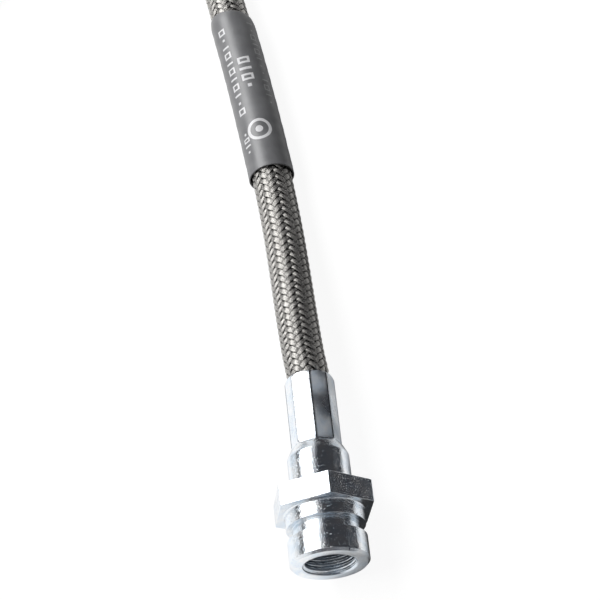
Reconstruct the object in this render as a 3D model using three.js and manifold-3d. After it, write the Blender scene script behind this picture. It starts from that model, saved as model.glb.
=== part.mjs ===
import * as THREE from 'three';
import { mergeVertices } from 'three/addons/utils/BufferGeometryUtils.js';
import Module from 'manifold-3d';

// Car brake hose: a braided flexible hose with a female hexagon fitting at one end and an eye fitting
// for a hollow bolt at the other. It lies on a flat surface, as it would on a bench.
// Millimetres, +Z up. Both fittings point along -Y, and the hose leaves both of them along +Y.
// Origin: centre of the box around the two fittings, on the surface that the hose lies on.

const wasm = await Module();
wasm.setup();

// Chassis fitting, measured along its axis from the port face
const HEX_FLATS = 17;
const HEX_SIDES = 6;
const HEX_FRONT = 9.9;
const HEX_BACK = 14.2;
const HEX_MIDDLE = (HEX_FRONT + HEX_BACK) / 2;
const PORT_RADIUS = 7.3;
const PORT_CHAMFER = 0.5;
const SHOULDER_FILLET = 0.4;
const GROOVE_START = 4.85;
const GROOVE_END = 7.15;
const GROOVE_RADIUS = 6.2;
const THREAD_MAJOR_RADIUS = 5;
const THREAD_MINOR_RADIUS = 4.46;
const THREAD_DEPTH = 10.8;
const CHASSIS_LENGTH = 37.3;

// Socket that is crimped onto the hose, the same on both fittings, measured back from its open end
const SOCKET_DEPTH = 21.3;
const SOCKET_BORE_RADIUS = 3.4;
const SOCKET_MOUTH_RADIUS = 3.9;
const SOCKET_MOUTH_DEPTH = 0.8;
const NECK_RADIUS = 5.75;
const NECK_TO_END = 16.4;
const CRIMP_LENGTH = 14.1;
const CRIMP_RIDGE_RADIUS = 4.65;
const CRIMP_FLAT_DISTANCE = 4.36;
const CRIMP_SIDES = 8;
const CRIMP_END_ROUND = 0.9;
const CRIMP_END_SHOULDER = 0.11;
const CRIMP_END_DROP = 0.36;

// Eye fitting for a hollow bolt, measured from the centre of its eye
const EYE_RADIUS = 9.5;
const EYE_THICKNESS = 12;
const EYE_HOLE_RADIUS = 5.1;
const EYE_CHAMFER = 0.4;
const EYE_FITTING_LENGTH = 36;

// Steel stems that carry the fluid into the hose
const STEM_RADIUS = 1.4;
const STEM_BARB_DEPTH = 0.25;
const STEM_BARBS = 4;
const STEM_BARB_PITCH = 3.6;
const STEM_BORE_RADIUS = 0.9;
const STEM_HOLE_RADIUS = 1.7;
const STEM_END_INSET = 2.5;
const SEAT_RADIUS = 4;
const SEAT_BACK = 10.5;
const SEAT_RIM = 9.8;
const SEAT_TIP = 7.4;
const EYE_STEM_START = 6.5;

// Hose layers: free radii, and the radii where the crimp squeezes them round the stem
const LINER = { inner: 1.7, outer: 3.2, squeezedInner: 1.7, squeezedOuter: 2.35 };
const BRAID = { inner: 3.5, outer: 4.1, squeezedInner: 2.65, squeezedOuter: 3.1 };
const SOCKET_BOTTOM_GAP = 0.3;
const SQUEEZE_END_INSET = 0.9;
const FREE_START = 1.3;
const STRAIGHT_END = 2.4;
const HOSE_SIDES = 12;
const HOSE_STEPS = 40;

// Shrunk label sleeve round the braid
const SLEEVE_INNER_RADIUS = 4.36;
const SLEEVE_OUTER_RADIUS = 4.66;
const SLEEVE_START_Y = 87;
const SLEEVE_END_Y = 130;
const SLEEVE_STEPS = 8;
const ROUTE_SAMPLES = 400;
const SAMPLES_PER_POINT = 8;

// Segments round a turned piece, and how far a cut reaches past the face that it opens
const ROUND = 48;
const STEM_ROUND = 20;
const CUT_MARGIN = 1;

// Places on the surface, counted from the point under the middle of the port face
const EYE_X = -91;
const EYE_Y = 56;
const CHASSIS_HEIGHT = HEX_FLATS / 2;
const EYE_HEIGHT = EYE_THICKNESS / 2;
const HEX_CORNER_RADIUS = HEX_FLATS / 2 / Math.cos(Math.PI / HEX_SIDES);
const EYE_SOCKET_Y = EYE_Y + EYE_FITTING_LENGTH;
const ORIGIN_X = (EYE_X - EYE_RADIUS + HEX_CORNER_RADIUS) / 2;
const ORIGIN_Y = EYE_SOCKET_Y / 2;

// Hose centreline from one socket to the other, chosen by hand: straight out of the chassis fitting,
// down to the surface, a slow bend to the left, one wide half turn, and back to the eye fitting
const ROUTE = [
  [-0.12, 38.8, 8.5],
  [-0.5, 42, 8.47],
  [-0.95, 48, 8.22],
  [-1.4, 54, 7.72],
  [-1.87, 60, 7.02],
  [-2.38, 66, 6.26],
  [-2.92, 72, 5.56],
  [-3.6, 79, 5],
  [-4.4, 87, 4.74],
  [-5.37, 96, 4.72],
  [-6.41, 105, 4.72],
  [-7.55, 114, 4.72],
  [-8.8, 123, 4.72],
  [-10.2, 132, 4.72],
  [-11.8, 141, 4.45],
  [-16.4, 154.4, 4.24],
  [-25.2, 165.1, 4.2],
  [-37.3, 172, 4.2],
  [-51, 174.4, 4.2],
  [-64.6, 172, 4.2],
  [-76.7, 165.1, 4.2],
  [-85.6, 154.4, 4.2],
  [-90.1, 142.7, 4.2],
  [-91, 131, 4.25],
  [-91, 120, 4.5],
  [-91, 110, 5.2],
  [-91, 101, 5.85],
  [-91, 93.6, 6],
];

// Turns a closed three.js geometry into a solid that can be cut and joined.
function toSolid(geometry) {
  const plain = geometry.clone();
  plain.deleteAttribute('normal');
  plain.deleteAttribute('uv');
  const merged = mergeVertices(plain, 1e-4);
  const vertProperties = new Float32Array(merged.attributes.position.array);
  const triVerts = new Uint32Array(merged.index.array);
  return new wasm.Manifold(new wasm.Mesh({ numProp: 3, vertProperties, triVerts }));
}

// Turns a solid back into a three.js geometry with flat faces.
function toGeometry(solid) {
  const mesh = solid.getMesh();
  const indexed = new THREE.BufferGeometry();
  indexed.setAttribute('position', new THREE.BufferAttribute(mesh.vertProperties, 3));
  indexed.setIndex(new THREE.BufferAttribute(mesh.triVerts, 1));
  const geometry = indexed.toNonIndexed();
  geometry.computeVertexNormals();
  return geometry;
}

// Solid turned about the Y axis from [radius, distance along Y] pairs.
function turned(profile, segments = ROUND) {
  const points = profile.map(([radius, along]) => new THREE.Vector2(radius, along));
  return toSolid(new THREE.LatheGeometry(points, segments));
}

// Prism or frustum with flat sides about the Y axis, given by its distances across half the flats.
function flatSided(sides, startDistance, endDistance, start, end, turn) {
  const cornerFactor = 1 / Math.cos(Math.PI / sides);
  const height = end - start;
  const geometry = new THREE.CylinderGeometry(
    endDistance * cornerFactor,
    startDistance * cornerFactor,
    height,
    sides,
  );
  geometry.rotateY(turn);
  geometry.translate(0, (start + end) / 2, 0);
  return toSolid(geometry);
}

// Neck and crimped skirt of a fitting whose open end lies at the given distance, as a full solid.
function crimpedSkirt(start, end) {
  const coneStart = end - NECK_TO_END;
  const coneEnd = end - CRIMP_LENGTH;
  const skin = turned([
    [0, start],
    [NECK_RADIUS, start],
    [NECK_RADIUS, coneStart],
    [CRIMP_RIDGE_RADIUS, coneEnd],
    [CRIMP_RIDGE_RADIUS, end - CRIMP_END_ROUND],
    [CRIMP_RIDGE_RADIUS - CRIMP_END_SHOULDER, end - CRIMP_END_ROUND / 2],
    [CRIMP_RIDGE_RADIUS - CRIMP_END_DROP, end],
    [0, end],
  ]);
  const halfSide = Math.PI / CRIMP_SIDES;
  const pressedFlats = flatSided(
    CRIMP_SIDES, CRIMP_FLAT_DISTANCE, CRIMP_FLAT_DISTANCE, coneEnd, end + CUT_MARGIN, halfSide,
  );
  const pressedCone = flatSided(
    CRIMP_SIDES, NECK_RADIUS, CRIMP_FLAT_DISTANCE, coneStart, coneEnd, halfSide,
  );
  const neckSpace = flatSided(
    CRIMP_SIDES, NECK_RADIUS + CUT_MARGIN, NECK_RADIUS + CUT_MARGIN, start - CUT_MARGIN, coneStart, halfSide,
  );
  return skin.intersect(pressedFlats.add(pressedCone).add(neckSpace));
}

// Space that the hose end fills inside a socket, and the narrower hole that its stem is pressed into.
function socketSpace(holeStart, end) {
  return turned([
    [0, holeStart],
    [STEM_HOLE_RADIUS, holeStart],
    [STEM_HOLE_RADIUS, end - SOCKET_DEPTH],
    [SOCKET_BORE_RADIUS, end - SOCKET_DEPTH],
    [SOCKET_BORE_RADIUS, end - SOCKET_MOUTH_DEPTH],
    [SOCKET_MOUTH_RADIUS, end],
    [SOCKET_MOUTH_RADIUS, end + CUT_MARGIN],
    [0, end + CUT_MARGIN],
  ]);
}

// Female fitting: port barrel, clip groove, hexagon and crimped socket are turned from one bar.
function chassisFitting() {
  const barrel = turned([
    [0, 0],
    [PORT_RADIUS - PORT_CHAMFER, 0],
    [PORT_RADIUS, PORT_CHAMFER],
    [PORT_RADIUS, GROOVE_START],
    [GROOVE_RADIUS, GROOVE_START],
    [GROOVE_RADIUS, GROOVE_END],
    [PORT_RADIUS, GROOVE_END],
    [PORT_RADIUS, HEX_FRONT - SHOULDER_FILLET],
    [PORT_RADIUS + SHOULDER_FILLET, HEX_FRONT],
    [PORT_RADIUS + SHOULDER_FILLET, HEX_MIDDLE],
    [0, HEX_MIDDLE],
  ]);
  const hexagon = flatSided(
    HEX_SIDES, HEX_FLATS / 2, HEX_FLATS / 2, HEX_FRONT, HEX_BACK, Math.PI / HEX_SIDES,
  );
  const chamfer = THREAD_MAJOR_RADIUS - THREAD_MINOR_RADIUS;
  const port = turned([
    [0, -chamfer],
    [THREAD_MAJOR_RADIUS + chamfer, -chamfer],
    [THREAD_MINOR_RADIUS, chamfer],
    [THREAD_MINOR_RADIUS, THREAD_DEPTH],
    [0, THREAD_DEPTH],
  ]);
  const skirt = crimpedSkirt(HEX_MIDDLE, CHASSIS_LENGTH);
  return barrel
    .add(hexagon)
    .add(skirt)
    .subtract(port)
    .subtract(socketSpace(THREAD_DEPTH - CUT_MARGIN, CHASSIS_LENGTH));
}

// Eye fitting: a round eye with two flat sealing faces and a neck that runs into its crimped socket.
function eyeFitting() {
  const half = EYE_THICKNESS / 2;
  const eyeProfile = [
    [0, -half],
    [EYE_RADIUS - EYE_CHAMFER, -half],
    [EYE_RADIUS, -half + EYE_CHAMFER],
    [EYE_RADIUS, half - EYE_CHAMFER],
    [EYE_RADIUS - EYE_CHAMFER, half],
    [0, half],
  ];
  const holeProfile = [
    [0, -half - EYE_CHAMFER],
    [EYE_HOLE_RADIUS + 2 * EYE_CHAMFER, -half - EYE_CHAMFER],
    [EYE_HOLE_RADIUS, -half + EYE_CHAMFER],
    [EYE_HOLE_RADIUS, half - EYE_CHAMFER],
    [EYE_HOLE_RADIUS + 2 * EYE_CHAMFER, half + EYE_CHAMFER],
    [0, half + EYE_CHAMFER],
  ];
  const upright = [90, 0, 0];
  const eye = turned(eyeProfile).rotate(upright);
  const hole = turned(holeProfile).rotate(upright);
  const skirt = crimpedSkirt((EYE_HOLE_RADIUS + EYE_RADIUS) / 2, EYE_FITTING_LENGTH);
  return eye
    .add(skirt)
    .subtract(hole)
    .subtract(socketSpace(0, EYE_FITTING_LENGTH));
}

// Barbed outline of a stem between two distances, from its first full radius to its open end.
function barbedOutline(end) {
  const outline = [];
  for (let barb = STEM_BARBS; barb > 0; barb -= 1) {
    const crest = end - barb * STEM_BARB_PITCH;
    outline.push([STEM_RADIUS, crest]);
    outline.push([STEM_RADIUS - STEM_BARB_DEPTH, crest + STEM_BARB_DEPTH]);
  }
  outline.push([STEM_RADIUS - STEM_BARB_DEPTH, end]);
  return outline;
}

// Stem of the chassis fitting: the pipe's flare seals on its cone, and its barbs hold the hose.
function chassisStem() {
  const end = CHASSIS_LENGTH - STEM_END_INSET;
  return turned([
    [STEM_BORE_RADIUS, SEAT_TIP],
    [STEM_RADIUS, SEAT_TIP],
    [SEAT_RADIUS, SEAT_RIM],
    [SEAT_RADIUS, SEAT_BACK],
    [STEM_RADIUS, SEAT_BACK],
    ...barbedOutline(end),
    [STEM_BORE_RADIUS, end],
    [STEM_BORE_RADIUS, SEAT_TIP],
  ], STEM_ROUND);
}

// Stem of the eye fitting: a plain barbed tube pressed into the neck from the socket.
function eyeStem() {
  const end = EYE_FITTING_LENGTH - STEM_END_INSET;
  return turned([
    [STEM_BORE_RADIUS, EYE_STEM_START],
    [STEM_RADIUS, EYE_STEM_START],
    ...barbedOutline(end),
    [STEM_BORE_RADIUS, end],
    [STEM_BORE_RADIUS, EYE_STEM_START],
  ], STEM_ROUND);
}

// Ring with flat sides whose hole clears the inner radius, as the section of a tube.
function ringSection(inner, outer) {
  const holeRadius = inner / Math.cos(Math.PI / HOSE_SIDES);
  const corner = (radius, index) => {
    const angle = (index / HOSE_SIDES) * 2 * Math.PI;
    return new THREE.Vector2(radius * Math.cos(angle), radius * Math.sin(angle));
  };
  const indices = [...Array(HOSE_SIDES).keys()];
  const section = new THREE.Shape(indices.map((index) => corner(outer, index)));
  section.holes.push(new THREE.Path(indices.map((index) => corner(holeRadius, index))));
  return section;
}

// Tube of the given section along a curve.
function tubeAlong(curve, inner, outer, steps) {
  const geometry = new THREE.ExtrudeGeometry(ringSection(inner, outer), {
    steps,
    bevelEnabled: false,
    extrudePath: curve,
  });
  return toSolid(geometry);
}

function hoseCurve() {
  return new THREE.CatmullRomCurve3(ROUTE.map(([x, y, z]) => new THREE.Vector3(x, y, z)));
}

// End of a hose layer inside a socket: squeezed round the stem, then opening to its free size.
function squeezedEnd(layer, socketEnd) {
  const start = socketEnd - SOCKET_DEPTH + SOCKET_BOTTOM_GAP;
  const squeezeEnd = socketEnd - SQUEEZE_END_INSET;
  const free = socketEnd + FREE_START;
  const end = socketEnd + STRAIGHT_END;
  return turned([
    [layer.squeezedInner, start],
    [layer.squeezedOuter, start],
    [layer.squeezedOuter, squeezeEnd],
    [layer.outer, free],
    [layer.outer, end],
    [layer.inner, end],
    [layer.inner, free],
    [layer.squeezedInner, squeezeEnd],
    [layer.squeezedInner, start],
  ], 2 * HOSE_SIDES);
}

// One layer of the hose over its whole length.
function hoseLayer(layer) {
  const chassisEnd = squeezedEnd(layer, CHASSIS_LENGTH).translate([0, 0, CHASSIS_HEIGHT]);
  const eyeEnd = squeezedEnd(layer, EYE_SOCKET_Y).translate([EYE_X, 0, EYE_HEIGHT]);
  const freeLength = tubeAlong(hoseCurve(), layer.inner, layer.outer, HOSE_STEPS);
  return freeLength.add(chassisEnd).add(eyeEnd);
}

// Part of the route between two distances from the port face, as its own curve.
function routeBetween(startY, endY) {
  const curve = hoseCurve();
  const points = curve.getSpacedPoints(ROUTE_SAMPLES);
  const firstHalf = points.slice(0, ROUTE_SAMPLES / 2);
  const nearest = (y) => firstHalf.reduce(
    (best, point) => (Math.abs(point.y - y) < Math.abs(best.y - y) ? point : best),
  );
  const from = firstHalf.indexOf(nearest(startY));
  const to = firstHalf.indexOf(nearest(endY));
  const chosen = firstHalf
    .slice(from, to + 1)
    .filter((point, index) => index % SAMPLES_PER_POINT === 0);
  return new THREE.CatmullRomCurve3(chosen);
}

function labelSleeve() {
  const curve = routeBetween(SLEEVE_START_Y, SLEEVE_END_Y);
  return tubeAlong(curve, SLEEVE_INNER_RADIUS, SLEEVE_OUTER_RADIUS, SLEEVE_STEPS);
}

function zincPlate() {
  return new THREE.MeshStandardMaterial({ color: 0xc9ccd0, roughness: 0.25, metalness: 1 });
}

function stainlessWire() {
  return new THREE.MeshStandardMaterial({ color: 0x8f8c86, roughness: 0.35, metalness: 1 });
}

function blackRubber() {
  return new THREE.MeshStandardMaterial({ color: 0x17171a, roughness: 0.8, metalness: 0 });
}

function shrinkPlastic() {
  return new THREE.MeshStandardMaterial({ color: 0x2c2d2f, roughness: 0.45, metalness: 0 });
}

function namedMesh(name, solid, material) {
  const mesh = new THREE.Mesh(toGeometry(solid), material);
  mesh.name = name;
  return mesh;
}

function chassisEnd() {
  const group = new THREE.Group();
  group.position.set(0, 0, CHASSIS_HEIGHT);
  group.add(namedMesh('chassis_fitting', chassisFitting(), zincPlate()));
  group.add(namedMesh('chassis_stem', chassisStem(), zincPlate()));
  return group;
}

function eyeEnd() {
  const group = new THREE.Group();
  group.position.set(EYE_X, EYE_Y, EYE_HEIGHT);
  group.add(namedMesh('eye_fitting', eyeFitting(), zincPlate()));
  group.add(namedMesh('eye_stem', eyeStem(), zincPlate()));
  return group;
}

function hose() {
  const group = new THREE.Group();
  group.add(namedMesh('hose_liner', hoseLayer(LINER), blackRubber()));
  group.add(namedMesh('wire_braid', hoseLayer(BRAID), stainlessWire()));
  group.add(namedMesh('label_sleeve', labelSleeve(), shrinkPlastic()));
  return group;
}

const brakeHose = new THREE.Group();
brakeHose.position.set(-ORIGIN_X, -ORIGIN_Y, 0);
brakeHose.add(chassisEnd());
brakeHose.add(eyeEnd());
brakeHose.add(hose());

export default brakeHose;
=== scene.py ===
# %% [markdown]
# A braided brake hose, seen from the fitting that takes the car's rigid brake pipe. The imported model
# is loaded first: it is the frame that every finer piece here is built round.

import math

import bmesh
import bpy
import numpy as np
from mathutils import Matrix, Vector


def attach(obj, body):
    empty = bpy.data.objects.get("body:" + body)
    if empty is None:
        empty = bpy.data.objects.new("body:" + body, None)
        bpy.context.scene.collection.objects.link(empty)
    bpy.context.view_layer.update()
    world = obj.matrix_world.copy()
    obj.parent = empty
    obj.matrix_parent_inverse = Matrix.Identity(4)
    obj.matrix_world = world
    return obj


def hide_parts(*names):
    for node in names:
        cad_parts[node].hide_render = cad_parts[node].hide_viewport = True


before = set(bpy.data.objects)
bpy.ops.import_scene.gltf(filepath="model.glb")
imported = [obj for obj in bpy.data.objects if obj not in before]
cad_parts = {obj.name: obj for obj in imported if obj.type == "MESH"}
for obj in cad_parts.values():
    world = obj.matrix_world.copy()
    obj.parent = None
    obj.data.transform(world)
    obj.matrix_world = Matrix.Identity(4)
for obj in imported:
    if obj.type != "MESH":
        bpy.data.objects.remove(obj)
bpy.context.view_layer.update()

# %% [markdown]
# All sizes below are in millimetres, counted from the point under the middle of the port face. A
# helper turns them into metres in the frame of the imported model.

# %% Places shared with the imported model
MM = 0.001
HEX_FLATS = 17.0
HEX_CORNER_RADIUS = HEX_FLATS / 2 / math.cos(math.pi / 6)
EYE_X, EYE_Y, EYE_RADIUS, EYE_LENGTH = -91.0, 56.0, 9.5, 36.0
CHASSIS_LENGTH, CHASSIS_HEIGHT, EYE_HEIGHT = 37.3, 8.5, 6.0
ORIGIN = np.array([(EYE_X - EYE_RADIUS + HEX_CORNER_RADIUS) / 2, (EYE_Y + EYE_LENGTH) / 2, 0.0])


def in_frame(points):
    """Points in millimetres from the port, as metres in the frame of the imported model."""
    return (np.asarray(points, float) - ORIGIN) * MM


PORT_X, PORT_Y, PORT_Z = in_frame([0, 0, CHASSIS_HEIGHT])
print("port face in the frame", round(PORT_X, 5), round(PORT_Y, 5), round(PORT_Z, 5))

# %% [markdown]
# The camera stands where the photographer stood: above the port and a little to its right, looking
# down and along the hose. Its place and turn came from fitting the edges of the hexagon, the barrel
# and the crimp to the photograph, so they are written here as plain numbers. A long lens keeps the
# hose almost parallel, as it is in the picture.

# %% Camera
CAMERA_PLACE = (109.704, -121.098, 296.238)
CAMERA_RIGHT = Vector((0.90800, -0.09968, -0.40694))
CAMERA_UP = Vector((0.28273, 0.86256, 0.41958))
CAMERA_FORWARD = Vector((-0.30919, 0.49603, -0.81139))
FOCAL_PIXELS, PICTURE_PIXELS, SENSOR = 1838.0, 600.0, 36.0

camera_data = bpy.data.cameras.new("camera")
camera_data.sensor_width = SENSOR
camera_data.lens = SENSOR * FOCAL_PIXELS / PICTURE_PIXELS
camera = bpy.data.objects.new("camera", camera_data)
bpy.context.scene.collection.objects.link(camera)
turn = Matrix((CAMERA_RIGHT, CAMERA_UP, -CAMERA_FORWARD)).transposed()
camera.matrix_world = Matrix.Translation(in_frame(CAMERA_PLACE)) @ turn.to_4x4()
bpy.context.scene.camera = camera
print("lens", round(camera_data.lens, 2), "mm")

# %% [markdown]
# The hose follows one line from socket to socket: straight out of the fitting, down onto the bench,
# a slow bend to the left and, outside the picture, one wide half turn back to the eye fitting. A hose
# this short and stiff isn't tied in a coil, so its unseen length just lies in its natural curve. The
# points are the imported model's own. A smooth curve through them is sampled closely, and each sample
# gets an upward and a sideways direction, so that anything can be placed round the hose by its
# distance along it, its angle and its radius.

# %% Line of the hose
ROUTE = [
    (-0.12, 38.8, 8.5), (-0.5, 42, 8.47), (-0.95, 48, 8.22), (-1.4, 54, 7.72), (-1.87, 60, 7.02),
    (-2.38, 66, 6.26), (-2.92, 72, 5.56), (-3.6, 79, 5), (-4.4, 87, 4.74), (-5.37, 96, 4.72),
    (-6.41, 105, 4.72), (-7.55, 114, 4.72), (-8.8, 123, 4.72), (-10.2, 132, 4.72),
    (-11.8, 141, 4.45), (-16.4, 154.4, 4.24), (-25.2, 165.1, 4.2), (-37.3, 172, 4.2),
    (-51, 174.4, 4.2), (-64.6, 172, 4.2), (-76.7, 165.1, 4.2), (-85.6, 154.4, 4.2),
    (-90.1, 142.7, 4.2), (-91, 131, 4.25), (-91, 120, 4.5), (-91, 110, 5.2), (-91, 101, 5.85),
    (-91, 93.6, 6),
]
SAMPLE = 0.1
INSIDE = 4.5
SPAN_SAMPLES, SMOOTH_REACH = 60, 14


def between(before, start, end, after, share):
    """Points of the smooth curve from start to end, led by the points before and after."""
    gaps = [math.dist(a, b) ** 0.5 for a, b in ((before, start), (start, end), (end, after))]
    before, start, end, after = (np.array(p, float) for p in (before, start, end, after))
    first = ((start - before) / gaps[0] - (end - before) / (gaps[0] + gaps[1])
             + (end - start) / gaps[1]) * gaps[1]
    last = ((end - start) / gaps[1] - (after - start) / (gaps[1] + gaps[2])
            + (after - end) / gaps[2]) * gaps[1]
    t = share[:, None]
    return (start + first * t + (3 * (end - start) - 2 * first - last) * t ** 2
            + (2 * (start - end) + first + last) * t ** 3)


def resampled(points, step):
    """The same line with its points at equal distances."""
    along = np.concatenate([[0], np.cumsum(np.linalg.norm(np.diff(points, axis=0), axis=1))])
    even = np.linspace(0, along[-1], int(round(along[-1] / step)) + 1)
    return np.stack([np.interp(even, along, points[:, axis]) for axis in range(3)], axis=1)


def smoothed(points, reach):
    """The line with each point averaged over its neighbours; its two ends stay."""
    offsets = np.arange(-3 * reach, 3 * reach + 1)
    weights = np.exp(-0.5 * (offsets / reach) ** 2)
    padded = np.pad(points, ((3 * reach, 3 * reach), (0, 0)), mode="reflect", reflect_type="odd")
    return np.stack([np.convolve(padded[:, axis], weights / weights.sum(), mode="valid")
                     for axis in range(3)], axis=1)


led = [2 * np.array(ROUTE[0], float) - ROUTE[1], *ROUTE, 2 * np.array(ROUTE[-1], float) - ROUTE[-2]]
share = np.linspace(0, 1, SPAN_SAMPLES, endpoint=False)
spans = [between(*led[i:i + 4], share) for i in range(len(ROUTE) - 1)]
socket_start = [(0, CHASSIS_LENGTH - INSIDE, CHASSIS_HEIGHT), (0, CHASSIS_LENGTH, CHASSIS_HEIGHT)]
socket_end = [(EYE_X, EYE_Y + EYE_LENGTH, EYE_HEIGHT), (EYE_X, EYE_Y + EYE_LENGTH - INSIDE, EYE_HEIGHT)]
whole = np.concatenate([socket_start, *spans, [ROUTE[-1]], socket_end])
centre = smoothed(resampled(whole, SAMPLE), SMOOTH_REACH)
distance = np.arange(len(centre)) * SAMPLE - INSIDE
HOSE_LENGTH = distance[-1] - INSIDE

tangent = np.gradient(centre, axis=0)
tangent /= np.linalg.norm(tangent, axis=1)[:, None]
upward = np.array([0, 0, 1.0]) - tangent * tangent[:, 2:3]
upward /= np.linalg.norm(upward, axis=1)[:, None]
sideways = np.cross(tangent, upward)


def round_the_hose(along, angle, radius):
    """Points at a distance along the hose, an angle from the top and a radius, in millimetres."""
    def at(table):
        return np.stack([np.interp(along, distance, table[:, axis]) for axis in range(3)], axis=-1)
    outward = at(upward) * np.cos(angle)[..., None] + at(sideways) * np.sin(angle)[..., None]
    return at(centre) + outward * np.asarray(radius)[..., None]


print("free hose", round(HOSE_LENGTH, 1), "mm, lowest point of its line", centre[:, 2].min().round(2))

# %% [markdown]
# Every piece ends the same way: its bmesh becomes a mesh object at the origin, rides on the one body
# and may stand for a node of the imported model; its material is given later. Edges that are sharper
# than a set angle stay crisp and all others are shaded smooth.

# %% Finish a piece
ROOT = "root"
MERGED = 0.0005


def as_object(name, bm):
    """The bmesh as a mesh object in the scene."""
    mesh = bpy.data.meshes.new(name)
    bm.to_mesh(mesh)
    bm.free()
    item = bpy.data.objects.new(name, mesh)
    bpy.context.scene.collection.objects.link(item)
    return item


def finished(name, bm, stands_for=(), crisp=30):
    """The bmesh as a piece of the object, smooth but for edges over an angle in degrees."""
    for face in bm.faces:
        face.smooth = True
    for edge in bm.edges:
        edge.smooth = edge.calc_face_angle(0.0) < math.radians(crisp)
    piece = as_object(name, bm)
    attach(piece, ROOT)
    if stands_for:
        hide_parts(*stands_for)
    print(name, sum(len(p.vertices) - 2 for p in piece.data.polygons), "triangles")
    return piece


# %% [markdown]
# The braid is 28 flat strands of fine stainless wire. Fourteen wind one way round the hose and
# fourteen the other, and each passes over two and under two. Such a braid is a lattice: one number
# counts along the strands of the first family, another along the second, and the place on the hose
# follows from their sum and difference. So each strand starts as a flat grid, stacked by its number,
# and one rule lays all the grids round the hose, raising a strand where it passes over. The grid is
# one column wider than the strand's face, and that column folds back under it and closes it. The rows
# of the photographed braid stand closer beside the socket and wider beyond it, so the counted length
# is turned into a distance with a small table of measured row spacings.

# %% Braid
STRAND_PITCH = 1.6
STRANDS_EACH_WAY = 14
CROSSING_ANGLE = math.pi / STRANDS_EACH_WAY
BRAID_TURN = math.radians(12)
SPACING_PLACES = [0, 6, 12, 18, 24, 30, 36, 42, 60]
ROW_SPACINGS = [1.42, 1.42, 1.44, 1.53, 1.63, 1.71, 1.74, 1.70, 1.60]
BRAID_RADIUS = 3.80
BRAID_WAVE = 0.18
STRAND_CROWN = 0.12
STRAND_HALF_WIDTH, STRAND_SPREAD = 0.405, 0.055
STRAND_INSET = 2.5
WAVE_SHARPNESS = 1.1
WEAVE_PERIOD = 4
ROW_PLACES = np.array([-0.5, 0.15, 0.85, 1.5, 2.15, 2.85])
COLUMN_PLACES = np.array([-1.0, -0.6, 0.0, 0.6, 1.0, -1.0])
COLUMN_CROWN = np.array([0.0, 0.8, 1.0, 0.8, 0.0, 0.0])
UNDERSIDE = 3.0
STRAND_UV_STEP = 7.3
SQUEEZE, SQUEEZE_INSIDE, SQUEEZE_LENGTH = 0.42, 0.5, 2.0


def squeeze(along):
    """How much the hose narrows where it enters a socket, at each distance along it."""
    nearest = np.minimum(along, HOSE_LENGTH - along)
    share = np.clip((nearest + SQUEEZE_INSIDE) / SQUEEZE_LENGTH, 0, 1)
    return SQUEEZE * (1 - share * share * (3 - 2 * share))


counted = np.cumsum(STRAND_PITCH / np.interp(distance, SPACING_PLACES, ROW_SPACINGS)) * SAMPLE
counted -= np.interp(0, distance, counted)
first_count, last_count = np.interp([-STRAND_INSET, HOSE_LENGTH + STRAND_INSET], distance, counted)
periods = int(math.ceil((last_count - first_count) / (WEAVE_PERIOD / 2 * STRAND_PITCH))) + 1
rows = periods * len(ROW_PLACES)
columns = len(COLUMN_PLACES)
grids = bmesh.new()
for strand in range(2 * STRANDS_EACH_WAY):
    bmesh.ops.create_grid(grids, x_segments=rows - 1, y_segments=columns - 1, size=1.0,
                          matrix=Matrix.Translation((0, 0, strand)))
flat = bpy.data.meshes.new("strands")
grids.to_mesh(flat)
grids.free()

place = np.zeros(len(flat.vertices) * 3)
flat.vertices.foreach_get("co", place)
place = place.reshape(-1, 3)
row = np.rint((place[:, 0] + 1) / 2 * (rows - 1)).astype(int)
column = np.rint((place[:, 1] + 1) / 2 * (columns - 1)).astype(int)
strand = np.rint(place[:, 2]).astype(int)
family, number = strand % 2, strand // 2

start_count = np.floor((first_count * 2 / STRAND_PITCH - 2 * number) / WEAVE_PERIOD)
turned_count = np.floor((2 * number - 2 * last_count / STRAND_PITCH) / WEAVE_PERIOD)
first_period = np.where(family == 0, start_count, turned_count)
weave = (first_period + row // len(ROW_PLACES)) * WEAVE_PERIOD + ROW_PLACES[row % len(ROW_PLACES)]
crest = np.where(family == 0, 0.5, 2.5)
wave = np.tanh(WAVE_SHARPNESS * np.cos(math.pi / 2 * (weave - crest))) / math.tanh(WAVE_SHARPNESS)
across = COLUMN_PLACES[column] * (STRAND_HALF_WIDTH + STRAND_SPREAD * wave)
count = STRAND_PITCH / 2 * np.where(family == 0, 2 * number + across + weave,
                                    2 * number + across - weave)
along = np.interp(count, counted, distance)
angle = CROSSING_ANGLE * np.where(family == 0, weave - across, weave + across)
radius = BRAID_RADIUS + BRAID_WAVE * wave + STRAND_CROWN * COLUMN_CROWN[column] - squeeze(along)
laid = round_the_hose(along, angle + BRAID_TURN, radius)
flat.vertices.foreach_set("co", in_frame(laid).ravel())
flat.attributes.new("lift", "FLOAT", "POINT").data.foreach_set("value", (wave + 1) / 2)

corners = np.zeros(len(flat.loops), int)
flat.loops.foreach_get("vertex_index", corners)
across_uv = np.where(column == columns - 1, UNDERSIDE, COLUMN_PLACES[column])
strand_uv = np.stack([weave + number * STRAND_UV_STEP, across_uv], axis=1)
flat.uv_layers.new(name="strand").data.foreach_set("uv", strand_uv[corners].ravel())

braid = bmesh.new()
braid.from_mesh(flat)
bpy.data.meshes.remove(flat)
bmesh.ops.remove_doubles(braid, verts=braid.verts, dist=0.001 * MM)
open_edges = [edge for edge in braid.edges if edge.is_boundary]
bmesh.ops.holes_fill(braid, edges=open_edges, sides=0)
bmesh.ops.recalc_face_normals(braid, faces=braid.faces)
wire_braid = finished("braid_of_wire", braid, ["wire_braid"], crisp=60)
print("rows", rows, "open edges left", len(open_edges))

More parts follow.
